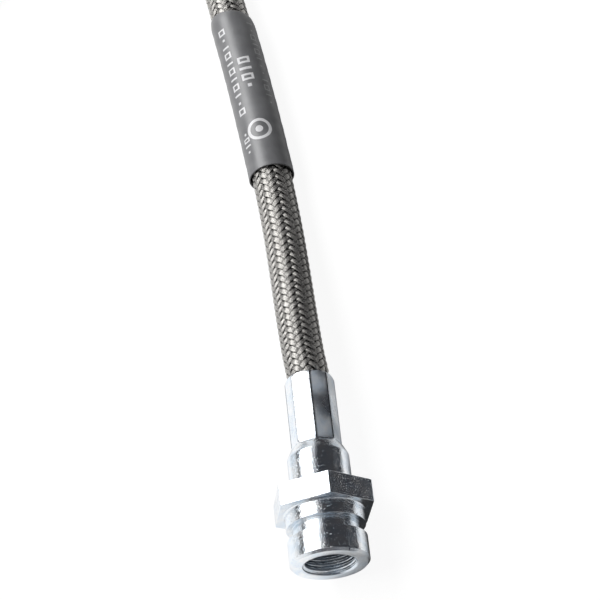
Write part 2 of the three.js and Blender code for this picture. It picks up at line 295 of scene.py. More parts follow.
# %% [markdown]
# Under the braid lies a smooth black tube that holds the fluid. Only a dark glimpse of it shows
# between the strands. The same helper rolls a flat grid into a tube round the hose line, with a
# radius that may change along it, and the sleeve uses it again.

# %% Liner


def rolled_tube(start, end, step, sides, radius_at, slant=lambda angle: 0 * angle):
    """A grid rolled round the hose into an open tube; slant moves its far end."""
    steps = int(round((end - start) / step))
    tube = bmesh.new()
    bmesh.ops.create_grid(tube, x_segments=steps, y_segments=sides, size=1.0)
    grid = np.array([v.co for v in tube.verts])
    angle = (grid[:, 1] + 1) * math.pi
    along = start + (grid[:, 0] + 1) / 2 * (end + slant(angle) - start)
    points = in_frame(round_the_hose(along, angle, radius_at(along, angle)))
    layer = tube.loops.layers.uv.new("tube")
    for face in tube.faces:
        for loop in face.loops:
            index = loop.vert.index
            loop[layer].uv = (along[index], angle[index])
    for vertex, point in zip(tube.verts, points):
        vertex.co = point
    bmesh.ops.remove_doubles(tube, verts=tube.verts, dist=0.001 * MM)
    bmesh.ops.recalc_face_normals(tube, faces=tube.faces)
    return tube


LINER_RADIUS, LINER_INSET, LINER_STEP, LINER_SIDES = 3.25, 3.5, 1.0, 32
liner = rolled_tube(-LINER_INSET, HOSE_LENGTH + LINER_INSET, LINER_STEP, LINER_SIDES,
                    lambda s, a: LINER_RADIUS - squeeze(s))
bmesh.ops.holes_fill(liner, edges=[e for e in liner.edges if e.is_boundary], sides=0)
inner_tube = finished("inner_tube", liner, ["hose_liner"], crisp=50)

# %% [markdown]
# A printed plastic sleeve is shrunk over the braid. Its lower end is cut square and stands a little
# off the braid, and its upper end grips and follows it, with a soft shoulder. The tube is rolled with
# that outline, and a Solidify modifier gives it its thin wall.

# %% Sleeve
SLEEVE_START_Y, SLEEVE_END_Y = 87.0, 130.0
SLEEVE_RADIUS, SLEEVE_WALL = 4.66, 0.28
SLEEVE_STEP, SLEEVE_SIDES = 0.3, 72
SLANT_DEGREES = 69
SHOULDER_LENGTH, SHOULDER_DROP = 2.2, 0.26
LIP_LENGTH, LIP_FLARE = 0.5, 0.04
RIM_WIDTH = 0.06
RIPPLES = ((0.018, 1.9, 2, 0), (0.014, 0.83, -3, 1))


def along_at(y):
    """Distance along the hose where its first half passes the given y."""
    half = len(centre) // 2
    return float(np.interp(y, centre[:half, 1], distance[:half]))


sleeve_start, sleeve_end = along_at(SLEEVE_START_Y), along_at(SLEEVE_END_Y)


def sleeve_slant(angle):
    """The upper end isn't cut square: its right side ends a little sooner."""
    return -(1 - np.cos(angle + math.radians(SLANT_DEGREES)))


def sleeve_radius(along, angle):
    shoulder = np.clip((sleeve_end + sleeve_slant(angle) - along) / SHOULDER_LENGTH, 0, 1)
    lip = np.clip((along - sleeve_start) / LIP_LENGTH, 0, 1)
    ripple = sum(tall * np.sin(along * often + turns * angle + shift)
                 for tall, often, turns, shift in RIPPLES)
    return SLEEVE_RADIUS - SHOULDER_DROP * (1 - shoulder) ** 2 + LIP_FLARE * (1 - lip) ** 2 + ripple


sleeve_bm = rolled_tube(sleeve_start, sleeve_end, SLEEVE_STEP, SLEEVE_SIDES, sleeve_radius,
                        sleeve_slant)
sleeve = finished("label_tube", sleeve_bm, ["label_sleeve"], crisp=50)
wall = sleeve.modifiers.new("wall", "SOLIDIFY")
wall.thickness = SLEEVE_WALL * MM
wall.offset = -1
wall.use_even_offset = True
rim = sleeve.modifiers.new("rim", "BEVEL")
rim.width = RIM_WIDTH * MM
rim.segments = 2
rim.limit_method = "ANGLE"
rim.angle_limit = math.radians(60)
print("sleeve from", round(sleeve_start, 1), "to", round(sleeve_end, 1), "mm along the hose")

# %% [markdown]
# Both fittings are turned parts with a socket that a press has crimped onto the hose. A turned part
# is a profile spun about its axis. The helper below rounds each corner of the profile a little and
# adds a point on either side of the rounding, so that flat faces stay flat in the shading and every
# edge catches a fine line of light, as plated steel does.

# %% Turned profiles
TURNED_STEPS = 192


def softened(profile):
    """Profile points (radius, distance, rounding) with each corner replaced by a small arc."""
    points = [np.array(p[:2], float) for p in profile]
    rounded = []
    for i, corner in enumerate(points):
        rounding = profile[i][2]
        into, out = points[i - 1] - corner, points[(i + 1) % len(points)] - corner
        lengths = np.linalg.norm(into), np.linalg.norm(out)
        into, out = into / lengths[0], out / lengths[1]
        half = math.acos(max(-1, min(1, float(into @ out)))) / 2
        if rounding <= 0 or half > math.radians(88):
            rounded.append(corner)
            continue
        reach = min(rounding / math.tan(half), 0.42 * min(lengths))
        support = min(0.05, 0.3 * reach)
        begin, end = corner + into * reach, corner + out * reach
        rounded.append(corner + into * (reach + support))
        for t in np.linspace(0, 1, 5):
            rounded.append((1 - t) ** 2 * begin + 2 * t * (1 - t) * corner + t ** 2 * end)
        rounded.append(corner + out * (reach + support))
    return rounded


def spun(profile_points):
    """Closed profile spun about the Y axis, from the top and on towards +X."""
    bm = bmesh.new()
    ring = [bm.verts.new((0, p[1], p[0])) for p in profile_points]
    edges = [bm.edges.new((ring[i - 1], ring[i])) for i in range(len(ring))]
    bmesh.ops.spin(bm, geom=ring + edges, cent=(0, 0, 0), axis=(0, 1, 0), dvec=(0, 0, 0),
                   angle=2 * math.pi, steps=TURNED_STEPS, use_merge=True, use_duplicate=False)
    bmesh.ops.remove_doubles(bm, verts=bm.verts, dist=MERGED)
    bmesh.ops.recalc_face_normals(bm, faces=bm.faces)
    return bm


def crowded(index, count, corner_index, near_corner):
    """Angles of the spun points, moved together near the corners of a prism with flat sides.
    near_corner holds the angles, in degrees, of the points next to each corner."""
    per_side = TURNED_STEPS // count
    half = per_side // 2
    from_corner = (index - corner_index) % per_side
    folded = np.minimum(from_corner, per_side - from_corner)
    marks = [0.0, *near_corner]
    rest = np.linspace(marks[-1], 180 / count, half - len(marks) + 2)[1:]
    table = np.radians(np.concatenate([marks, rest]))
    sign = np.where(from_corner <= half, 1, -1)
    corner = np.radians(360 / TURNED_STEPS) * (index - sign * folded)
    return corner + sign * table[folded]


def soft_min(a, b, blend):
    """The smaller of two numbers, with a small fillet where they meet."""
    mix = np.clip(0.5 + 0.5 * (b - a) / blend, 0, 1)
    return b + (a - b) * mix - blend * mix * (1 - mix)


# %% [markdown]
# The crimp is eight flats pressed into a round skirt. Between two flats a narrow strip of the round
# skin is left, and at the hose end of the cone the flats run out in scallops, because the press jaws
# have rounded ends. Each spun point is moved to the nearer of the two surfaces: the turned skin, or
# the jaw's flat.

# %% Crimped socket
NECK_RADIUS, NECK_TO_END, CRIMP_LENGTH = 5.75, 16.4, 14.1
RIDGE_RADIUS, FLAT_DISTANCE, CRIMP_SIDES = 4.65, 4.36, 8
SOCKET_DEPTH, SOCKET_BORE, SOCKET_MOUTH, SOCKET_MOUTH_DEPTH = 21.3, 3.4, 3.92, 0.8
STEM_HOLE = 1.7
JAW_ROUND, JAW_END, JAW_SLOPE = 0.9, 0.25, 3
RIDGE_RISE, RIDGE_HALF_DEGREES, RIDGE_START = 0.06, 2.1, 0.4
PRESSED_START, PRESSED_DEPTH = 0.15, 0.03
# painted shade: a dark line on the plating just beside each ridge of the crimp
RIDGE_SHADE_DEGREES, RIDGE_SHADE_START, RIDGE_SHADE_SHARE = 2.5, 0.2, 0.8
CREASE = 0.06
NEAR_RIDGE = (1.1, 2.0, 2.5, 3.3)


def socket_profile(end):
    """Outer skin of neck, cone and crimp, then the socket's mouth and bore, from the neck inward."""
    crimp = end - CRIMP_LENGTH
    cone_start = end - NECK_TO_END
    slope = (NECK_RADIUS - RIDGE_RADIUS) / (crimp - cone_start)
    fine = [(RIDGE_RADIUS + slope * (crimp - y), y, 0)
            for y in np.arange(crimp - 1.4, crimp - 0.01, 0.1)]
    flat = [(RIDGE_RADIUS, y, 0) for y in np.arange(crimp + 0.1, crimp + 1.7, 0.1)]
    plain = [(RIDGE_RADIUS, y, 0) for y in np.linspace(crimp + 2.5, end - 1.6, 6)]
    last = [(RIDGE_RADIUS, y, 0) for y in np.arange(end - 1.3, end - 0.85, 0.1)]
    return [
        (NECK_RADIUS, cone_start, 0.9),
        *fine, (RIDGE_RADIUS, crimp, 0), *flat, *plain, *last,
        (RIDGE_RADIUS - 0.04, end - 0.6, 0), (RIDGE_RADIUS - 0.12, end - 0.35, 0),
        (RIDGE_RADIUS - 0.25, end - 0.14, 0), (RIDGE_RADIUS - 0.42, end - 0.02, 0),
        (RIDGE_RADIUS - 0.52, end, 0), (SOCKET_MOUTH, end, 0.06),
        (SOCKET_BORE, end - SOCKET_MOUTH_DEPTH, 0.1), (SOCKET_BORE, end - SOCKET_DEPTH, 0),
        (STEM_HOLE, end - SOCKET_DEPTH, 0),
    ]


def crimped(index, y, radius, end):
    """Angle and radius of the points on neck, cone and crimp after the press, how far each was
    pressed, and how much painted shade darkens it beside the ridges."""
    angle = crowded(index, CRIMP_SIDES, TURNED_STEPS // (2 * CRIMP_SIDES), NEAR_RIDGE)
    side = 2 * math.pi / CRIMP_SIDES
    from_flat = (angle + side / 2) % side - side / 2
    into_crimp = y - (end - CRIMP_LENGTH)
    beyond = np.clip(JAW_END - into_crimp, 0, None)
    flare = np.where(beyond < JAW_ROUND,
                     JAW_ROUND - np.sqrt(np.clip(JAW_ROUND ** 2 - beyond ** 2, 0, None)),
                     JAW_ROUND + JAW_SLOPE * (beyond - JAW_ROUND))
    jaw = (FLAT_DISTANCE + flare) / np.cos(from_flat)
    from_ridge = np.degrees(side / 2 - np.abs(from_flat))
    on_ridge = np.exp(-(from_ridge / RIDGE_HALF_DEGREES) ** 6)
    squeezed_up = RIDGE_RISE * on_ridge * (into_crimp > RIDGE_START)
    pressed = np.clip((radius - jaw) / PRESSED_DEPTH, 0, 1) * (into_crimp > PRESSED_START)
    # painted shade in the crease beside each ridge
    painted_shade = RIDGE_SHADE_SHARE * np.exp(-(from_ridge - RIDGE_SHADE_DEGREES) ** 2) * (into_crimp > RIDGE_SHADE_START)
    return angle, soft_min(radius, jaw, CREASE) + squeezed_up, pressed, painted_shade


def press(index, y, radius, end, start, angle, shaped):
    """Moves the points beyond a start to their pressed places, and tells how far each was pressed
    and how much painted shade darkens it."""
    on_crimp = (y > start) & (radius > SOCKET_MOUTH + 0.05)
    crimp_angle, crimp_radius, pressed, painted_shade = crimped(index, y, radius, end)
    angle[on_crimp], shaped[on_crimp] = crimp_angle[on_crimp], crimp_radius[on_crimp]
    return pressed * on_crimp, painted_shade * on_crimp


# %% [markdown]
# The chassis fitting is one turned part. From the front: a round barrel with the threaded port, a
# groove for the clip that holds it in its bracket, the hexagon that stops it from turning, a neck,
# and the crimped socket. The whole outline, port and bore included, is spun as one closed loop. Then
# the rings of the hexagon move out to six flats with slightly rounded corners, the crimp is pressed,
# and the rings in the port follow a real screw thread of one millimetre pitch.

# %% Chassis fitting
HEX_FRONT, HEX_BACK = 9.9, 14.2
PORT_RADIUS, PORT_CHAMFER, SHOULDER_FILLET = 7.3, 0.5, 0.4
GROOVE_START, GROOVE_END, GROOVE_RADIUS = 4.85, 7.15, 6.2
THREAD_MAJOR, THREAD_MINOR, THREAD_PITCH = 5.0, 4.46, 1.0
THREAD_END, THREAD_DEPTH = 8.6, 10.8
PORT_LEAD_IN = 0.12
# painted shade in the port's thread, darker further in
THREAD_SHADE_FROM, THREAD_SHADE_RUN, THREAD_SHADE_MOST = 1.5, 8.0, 0.55
THREAD_STEP = 1 / 16
THREAD_SHARPNESS, LEAD_IN_INSET = 1.6, 0.05
HEX_ROUND = 0.22

thread_rings = [(THREAD_MINOR, y, 0) for y in np.arange(THREAD_END, 0.02, -THREAD_STEP)]
shoulder = [(PORT_RADIUS + SHOULDER_FILLET * (1 - math.cos(t)),
             HEX_FRONT - SHOULDER_FILLET * (1 - math.sin(t)), 0)
            for t in np.linspace(0, math.pi / 2, 6)]
fitting_profile = softened([
    (THREAD_MAJOR + 0.1, THREAD_DEPTH, 0), (THREAD_MAJOR + 0.1, THREAD_END + 0.5, 0),
    *thread_rings,
    (THREAD_MAJOR + PORT_LEAD_IN, 0, 0.07),
    (PORT_RADIUS - PORT_CHAMFER, 0, 0.12), (PORT_RADIUS, PORT_CHAMFER, 0.12),
    (PORT_RADIUS, GROOVE_START, 0.12), (GROOVE_RADIUS, GROOVE_START, 0.1),
    (GROOVE_RADIUS, GROOVE_END, 0.1), (PORT_RADIUS, GROOVE_END, 0.12),
    *shoulder,
    (HEX_FLATS / 2, HEX_FRONT, 0.12), (HEX_FLATS / 2, HEX_BACK, 0.12),
    (NECK_RADIUS, HEX_BACK, 0.15),
    *socket_profile(CHASSIS_LENGTH),
    (STEM_HOLE, THREAD_DEPTH, 0),
])
fitting = spun(fitting_profile)


def screw_thread(angle, y):
    """Radius of the port wall on a right-hand internal thread, with its lead-in cone."""
    turn = (y / THREAD_PITCH + angle / (2 * math.pi)) % 1.0
    crest = np.tanh(THREAD_SHARPNESS * np.cos(2 * math.pi * turn)) / math.tanh(THREAD_SHARPNESS)
    flank = 0.5 + 0.5 * crest
    cone = THREAD_MAJOR + PORT_LEAD_IN - LEAD_IN_INSET - y
    return np.maximum(THREAD_MINOR + (THREAD_MAJOR - THREAD_MINOR) * flank, cone)


def hexagon(index, distance_to_flat):
    """Angle and radius on a hexagon with rounded corners."""
    corner_centre = (HEX_FLATS / 2 - HEX_ROUND) / math.cos(math.pi / 6)
    reach = math.atan2(HEX_ROUND / 2, corner_centre + HEX_ROUND * math.cos(math.pi / 6))
    marks = (math.degrees(reach) / 2, math.degrees(reach), math.degrees(reach) + 0.4)
    angle = crowded(index, 6, TURNED_STEPS // 12, marks)
    from_flat = (angle + math.pi / 6) % (math.pi / 3) - math.pi / 6
    from_corner = math.pi / 6 - np.abs(from_flat)
    across_corner = corner_centre * np.sin(np.minimum(from_corner, reach))
    arc = corner_centre * np.cos(from_corner) + np.sqrt(HEX_ROUND ** 2 - across_corner ** 2)
    prism = HEX_FLATS / 2 / np.cos(from_flat)
    full = np.where(from_corner < reach, arc, prism)
    return angle, full * distance_to_flat / (HEX_FLATS / 2)


def reshaped(bm, rule):
    """Moves each spun point to the angle and radius that the rule gives for its place, and keeps
    how far it was pressed and how much painted shade darkens it there, for the material."""
    place = np.array([v.co for v in bm.verts])
    radius = np.hypot(place[:, 0], place[:, 2])
    plain = np.arctan2(place[:, 0], place[:, 2])
    index = np.rint(plain / (2 * math.pi) * TURNED_STEPS).astype(int) % TURNED_STEPS
    angle, radius, pressed, painted_shade = rule(index, plain, radius, place[:, 1])
    for name in ("pressed", "painted_shade"):
        bm.verts.layers.float.new(name)
    pressed_layer, painted_shade_layer = bm.verts.layers.float["pressed"], bm.verts.layers.float["painted_shade"]
    for vertex, a, r, share, darker in zip(bm.verts, angle, radius, pressed, painted_shade):
        vertex.co.x, vertex.co.z = r * math.sin(a), r * math.cos(a)
        vertex[pressed_layer], vertex[painted_shade_layer] = share, darker


def shape_fitting(index, plain, radius, y):
    angle, shaped = plain.copy(), radius.copy()
    on_hex = (radius > PORT_RADIUS + SHOULDER_FILLET + 0.05) & (y > HEX_FRONT - 0.01)
    hex_angle, hex_radius = hexagon(index, radius)
    angle[on_hex], shaped[on_hex] = hex_angle[on_hex], hex_radius[on_hex]
    in_port = (np.abs(radius - THREAD_MINOR) < 0.01) & (y < THREAD_END + 0.05)
    shaped[in_port] = screw_thread(plain, y)[in_port]
    pressed, painted_shade = press(index, y, radius, CHASSIS_LENGTH, HEX_BACK + 0.2, angle, shaped)
    # painted shade inside the port, growing deeper into the bore
    thread_painted_shade = np.clip((y - THREAD_SHADE_FROM) / THREAD_SHADE_RUN, 0, THREAD_SHADE_MOST)
    return angle, shaped, pressed, np.where(in_port, thread_painted_shade, painted_shade)


reshaped(fitting, shape_fitting)
bmesh.ops.recalc_face_normals(fitting, faces=fitting.faces)
bmesh.ops.transform(fitting, matrix=Matrix.Translation(in_frame([0, 0, CHASSIS_HEIGHT]))
                    @ Matrix.Scale(MM, 4), verts=fitting.verts)
pipe_fitting = finished("pipe_fitting", fitting, ["chassis_fitting"], crisp=40)

# %% [markdown]
# The eye fitting bolts the other end to the brake caliper. Its eye is a thick ring with two flat
# sealing faces, and the same neck and socket as before grow out of its side. Ring and neck are spun
# on their own and joined by a Boolean, which leaves one closed body, and a last cut opens the passage
# from the bolt's hole to the hose.

# %% Eye fitting
EYE_THICKNESS, EYE_HOLE, EYE_CHAMFER = 12.0, 5.1, 0.4
NECK_START, NECK_NEXT = 7.0, 9.0
PASSAGE_LENGTH, PASSAGE_SIDES = 8.0, 48
EYE_PLACE = Matrix.Translation(in_frame([EYE_X, EYE_Y, EYE_HEIGHT])) @ Matrix.Scale(MM, 4)
half_eye = EYE_THICKNESS / 2
eye_profile = softened([
    (EYE_HOLE + EYE_CHAMFER, half_eye, 0.08), (EYE_HOLE, half_eye - EYE_CHAMFER, 0.08),
    (EYE_HOLE, -half_eye + EYE_CHAMFER, 0.08), (EYE_HOLE + EYE_CHAMFER, -half_eye, 0.08),
    (EYE_RADIUS - EYE_CHAMFER, -half_eye, 0.15), (EYE_RADIUS, -half_eye + EYE_CHAMFER, 0.15),
    (EYE_RADIUS, half_eye - EYE_CHAMFER, 0.15), (EYE_RADIUS - EYE_CHAMFER, half_eye, 0.15),
])
neck_profile = softened([
    (STEM_HOLE, NECK_START, 0), (NECK_RADIUS, NECK_START, 0), (NECK_RADIUS, NECK_NEXT, 0),
    *socket_profile(EYE_LENGTH),
])
ring = spun(eye_profile)
bmesh.ops.rotate(ring, cent=(0, 0, 0), matrix=Matrix.Rotation(math.pi / 2, 3, "X"), verts=ring.verts)
neck = spun(neck_profile)


def shape_neck(index, plain, radius, y):
    angle, shaped = plain.copy(), radius.copy()
    pressed, painted_shade = press(index, y, radius, EYE_LENGTH, (NECK_START + NECK_NEXT) / 2, angle, shaped)
    return angle, shaped, pressed, painted_shade


reshaped(neck, shape_neck)
passage = bmesh.new()
bmesh.ops.create_cone(passage, cap_ends=True, segments=PASSAGE_SIDES, radius1=STEM_HOLE,
                      radius2=STEM_HOLE, depth=PASSAGE_LENGTH,
                      matrix=Matrix.Translation((0, NECK_START, 0))
                      @ Matrix.Rotation(math.pi / 2, 4, "X"))


def loose_object(name, bm):
    """A helper object for a Boolean, removed once the cut is made."""
    bmesh.ops.recalc_face_normals(bm, faces=bm.faces)
    return as_object(name, bm)


ring_object, neck_object = loose_object("ring", ring), loose_object("neck", neck)
passage_object = loose_object("passage", passage)
for other, operation in ((neck_object, "UNION"), (passage_object, "DIFFERENCE")):
    step = ring_object.modifiers.new(operation.lower(), "BOOLEAN")
    step.operation = operation
    step.solver = "EXACT"
    step.object = other
joined = bmesh.new()
joined.from_object(ring_object, bpy.context.evaluated_depsgraph_get())
for helper in (ring_object, neck_object, passage_object):
    bpy.data.objects.remove(helper)
bmesh.ops.remove_doubles(joined, verts=joined.verts, dist=MERGED)
bmesh.ops.transform(joined, matrix=EYE_PLACE, verts=joined.verts)
eye_fitting = finished("eye_end", joined, ["eye_fitting"], crisp=35)

# %% [markdown]
# The braid, the liner and the sleeve all follow the sampled line from socket to socket, and the eye
# end sits at its far end.

# %% [markdown]
# Materials are small node trees. A few helpers keep them readable: one fills a node's sockets, one
# adds a node, some do arithmetic on numbers, and one starts a material with a Principled shader.

# %% Node helpers


def new_material(name):
    material = bpy.data.materials.new(name)
    material.use_nodes = True
    tree = material.node_tree
    return material, tree, tree.nodes["Principled BSDF"]


def fill_socket(tree, socket, value):
    """Gives a socket its value, or links it to another socket."""
    if isinstance(value, bpy.types.NodeSocket):
        tree.links.new(value, socket)
    else:
        socket.default_value = value


def fill(tree, node, **sockets):
    """Fills the named sockets of a node."""
    for key, value in sockets.items():
        fill_socket(tree, node.inputs[key.replace("_", " ")], value)


def add(tree, kind, settings=None, **sockets):
    """A new node with its settings and sockets filled."""
    node = tree.nodes.new(kind)
    for key, value in (settings or {}).items():
        setattr(node, key, value)
    fill(tree, node, **sockets)
    return node


def calc(tree, operation, *values, clamp=False):
    """A Math node on numbers or sockets."""
    node = add(tree, "ShaderNodeMath", {"operation": operation, "use_clamp": clamp})
    for socket, value in zip(node.inputs, values):
        fill_socket(tree, socket, value)
    return node.outputs[0]


def joined_by(operation, tree, first, *others):
    """One operation on two or more numbers, from the left."""
    for other in others:
        first = calc(tree, operation, first, other)
    return first


def product(tree, *values):
    return joined_by("MULTIPLY", tree, *values)


def total(tree, *values):
    return joined_by("ADD", tree, *values)


def largest(tree, *values):
    return joined_by("MAXIMUM", tree, *values)


def blend_number(tree, share, first, second):
    """The first number, moved towards the second by a share."""
    return total(tree, product(tree, calc(tree, "SUBTRACT", second, first), share), first)


def remap(tree, value, low, high, to_low=0.0, to_high=1.0):
    """The value carried from one range to another, and held at its ends."""
    return add(tree, "ShaderNodeMapRange", Value=value, From_Min=low, From_Max=high, To_Min=to_low,
               To_Max=to_high).outputs["Result"]


def object_place(tree):
    return add(tree, "ShaderNodeTexCoord").outputs["Object"]


def uv_parts(tree, name):
    uv = add(tree, "ShaderNodeUVMap", {"uv_map": name}).outputs["UV"]
    return add(tree, "ShaderNodeSeparateXYZ", Vector=uv).outputs


def kept_number(tree, name):
    """A number that is kept on the mesh, point by point."""
    return add(tree, "ShaderNodeAttribute", {"attribute_name": name}).outputs["Fac"]


def noise(tree, vector, scale, detail=2.0):
    return add(tree, "ShaderNodeTexNoise", Vector=vector, Scale=scale, Detail=detail,
               Roughness=0.5).outputs["Fac"]


def bump(tree, shader, height, depth, strength=1.0, under=None):
    """A bump for the shader, on top of another bump if there is one."""
    node = add(tree, "ShaderNodeBump", Height=height, Distance=depth, Strength=strength)
    if under is not None:
        fill(tree, node, Normal=under)
    fill(tree, shader, Normal=node.outputs["Normal"])
    return node.outputs["Normal"]


def blend_colour(tree, factor, first, second):
    node = add(tree, "ShaderNodeMix", {"data_type": "RGBA"})
    for key, kind, value in (("Factor", "VALUE", factor), ("A", "RGBA", first), ("B", "RGBA", second)):
        socket = next(s for s in node.inputs if s.name == key and s.type == kind)
        fill_socket(tree, socket, value)
    return next(s for s in node.outputs if s.type == "RGBA")


# %% [markdown]
# Zinc plate is bright, very slightly blue steel. Under a lens it isn't a mirror: the plating has a
# fine grain, scattered pits, and soft clouds where it grew thicker. A metallic shader with noise and
# small cells in its bump gives them. The flats that the press jaws rubbed are satin in places, and
# painted shade darkens the colour in the thread and beside the ridges: both come from numbers kept
# on the mesh.

# %% Zinc plate
ZINC_BLUE, ZINC_PALE = (0.64, 0.71, 0.78, 1), (0.78, 0.80, 0.82, 1)
# colour of the painted shade in the thread and beside the ridges
ZINC_PAINTED_SHADE = (0.05, 0.055, 0.065, 1)
RUBBED_MIDDLE, RUBBED_PERIOD = 35.0, 10.4

zinc, tree, shader = new_material("zinc plate")
place_on = object_place(tree)
axes = add(tree, "ShaderNodeSeparateXYZ", Vector=place_on).outputs
clouds = noise(tree, place_on, 420.0, 3.0)
patches = noise(tree, place_on, 190.0)
grain = noise(tree, place_on, 4200.0)
cells = add(tree, "ShaderNodeTexVoronoi", Vector=place_on, Scale=3800.0).outputs
cell_number = add(tree, "ShaderNodeSeparateColor", Color=cells["Color"]).outputs["Red"]
pits = product(tree, remap(tree, cells["Distance"], 0.38, 0.12), remap(tree, cell_number, 0.5, 1.0))
tint = blend_colour(tree, remap(tree, clouds, 0.35, 0.65), ZINC_BLUE, ZINC_PALE)

along_jaw = calc(tree, "SUBTRACT", axes["Y"], PORT_Y + RUBBED_MIDDLE * MM)
rubbed = calc(tree, "COSINE", product(tree, along_jaw, 2 * math.pi / (RUBBED_PERIOD * MM)))
across_jaw = remap(tree, axes["X"], PORT_X + 1.8 * MM, PORT_X + 4.2 * MM, 0.24, -0.16)
worn = total(tree, product(tree, rubbed, 0.28), patches, across_jaw)
facing_right = remap(tree, axes["X"], PORT_X + 1.2 * MM, PORT_X + 1.8 * MM)
satin = product(tree, kept_number(tree, "pressed"), facing_right,
                remap(tree, worn, 0.2, 0.9, 0.13, 0.78))

# the plate's colour, darkened by the kept painted shade
fill(tree, shader, Base_Color=blend_colour(tree, kept_number(tree, "painted_shade"), tint, ZINC_PAINTED_SHADE),
     Metallic=1.0, Roughness=total(tree, remap(tree, clouds, 0.3, 0.7, 0.07, 0.14), satin))
cloud_bump = bump(tree, shader, clouds, 0.15 * MM, 0.5)
grain_bump = bump(tree, shader, grain, 0.04 * MM, under=cloud_bump)
bump(tree, shader, pits, 0.032 * MM, under=grain_bump)

# %% [markdown]
# The stems are plain machined steel, a little darker than the plate, with fine turning marks that
# run round them.

# %% Stem steel
STEEL_DARK, STEEL_PALE = (0.42, 0.43, 0.45, 1), (0.52, 0.53, 0.55, 1)

stem_steel, tree, shader = new_material("machined steel")
rings = add(tree, "ShaderNodeTexWave", {"wave_type": "BANDS", "bands_direction": "Y"},
            Vector=object_place(tree), Scale=2200.0, Distortion=1.0).outputs["Fac"]
fill(tree, shader, Base_Color=blend_colour(tree, rings, STEEL_DARK, STEEL_PALE),
     Metallic=1.0, Roughness=remap(tree, rings, 0, 1, 0.26, 0.36))
bump(tree, shader, rings, 0.01 * MM, 0.4)

# %% [markdown]
# Each strand of the braid is a row of seven fine wires, side by side. The strand's own UV map runs
# across it, so a bump with seven round crowns turns its flat face into wires, and the light breaks up
# on them as it does on the real braid. Between the wires, at a strand's edges and where it dips under
# the others, painted shade makes the colour darker.

# %% Stainless wire
WIRES = 7
# colour of the painted shade between the wires, at strand edges and where a strand dips under
WIRE_GAP_SHADE, WIRE_BRIGHT = (0.010, 0.009, 0.008, 1), (0.50, 0.487, 0.465, 1)

stainless, tree, shader = new_material("stainless wire")
from_axis = uv_parts(tree, "strand")["Y"]
wire_place = calc(tree, "FRACT", product(tree, calc(tree, "ADD", from_axis, 1.0), WIRES / 2))
from_middle = calc(tree, "SUBTRACT", product(tree, wire_place, 2.0), 1.0)
height = calc(tree, "SUBTRACT", 1.0, product(tree, from_middle, from_middle), clamp=True)
crown = calc(tree, "SQRT", height)
# painted shade: darker where the strand dips under the others, at its edges and between its wires
on_top = remap(tree, kept_number(tree, "lift"), 0.15, 0.62)
off_edge = remap(tree, calc(tree, "ABSOLUTE", from_axis), 0.75, 1.0, 1.0, 0.3)
bright = product(tree, on_top, off_edge, remap(tree, crown, 0.1, 0.8, 0.3, 1.0))
wander = noise(tree, object_place(tree), 900.0)
fill(tree, shader, Base_Color=blend_colour(tree, bright, WIRE_GAP_SHADE, WIRE_BRIGHT),
     Metallic=1.0, Roughness=remap(tree, wander, 0.3, 0.7, 0.2, 0.3))
bump(tree, shader, crown, 0.1 * MM, 0.7)

# %% [markdown]
# The liner is matt black rubber with a faint grain, and the sleeve is satin dark plastic. The real
# sleeve carries print. Its place holds plain rows of short bars, boxes and dots, and a plain circle,
# that spell nothing. The sleeve's UV map counts millimetres along it and the angle round it, so each
# mark is placed by where it stands on the sleeve.

# %% Rubber and sleeve
RUBBER_DARK, RUBBER_PALE = (0.008, 0.008, 0.009, 1), (0.016, 0.016, 0.017, 1)
PLASTIC_DARK, PLASTIC_PALE = (0.150, 0.152, 0.160, 1), (0.265, 0.267, 0.277, 1)
PRINT = (0.93, 0.93, 0.95, 1)
EDGE = 0.05
BOX_SHARE, BOX_LINES, DOT_LINES = 0.38, 1.6, 1.3
DOT_BELOW, BOX_ABOVE = 0.28, 0.62
CIRCLE_START, CIRCLE_DEGREES = 9.5, 15
FAINT = 0.3

rubber, tree, shader = new_material("black rubber")
grain = noise(tree, object_place(tree), 2600.0)
fill(tree, shader, Base_Color=blend_colour(tree, grain, RUBBER_DARK, RUBBER_PALE), Roughness=0.75)
bump(tree, shader, grain, 0.02 * MM, 0.4)

plastic, tree, shader = new_material("shrunk plastic")
place_on = object_place(tree)
clouds = noise(tree, place_on, 260.0, 3.0)
grain = noise(tree, place_on, 2400.0)
tube_parts = uv_parts(tree, "tube")


def on_sleeve(start, degrees):
    """Sockets with the millimetres along and across the sleeve, counted from a place on it."""
    along = calc(tree, "SUBTRACT", tube_parts["X"], sleeve_start + start)
    turned = calc(tree, "SUBTRACT", tube_parts["Y"], math.radians(degrees))
    return along, product(tree, calc(tree, "WRAP", turned, math.pi, -math.pi), SLEEVE_RADIUS)


def within(value, half):
    """1 where the value is nearer to zero than half, with a soft edge, else 0."""
    return remap(tree, calc(tree, "ABSOLUTE", value), half + EDGE, half - EDGE)


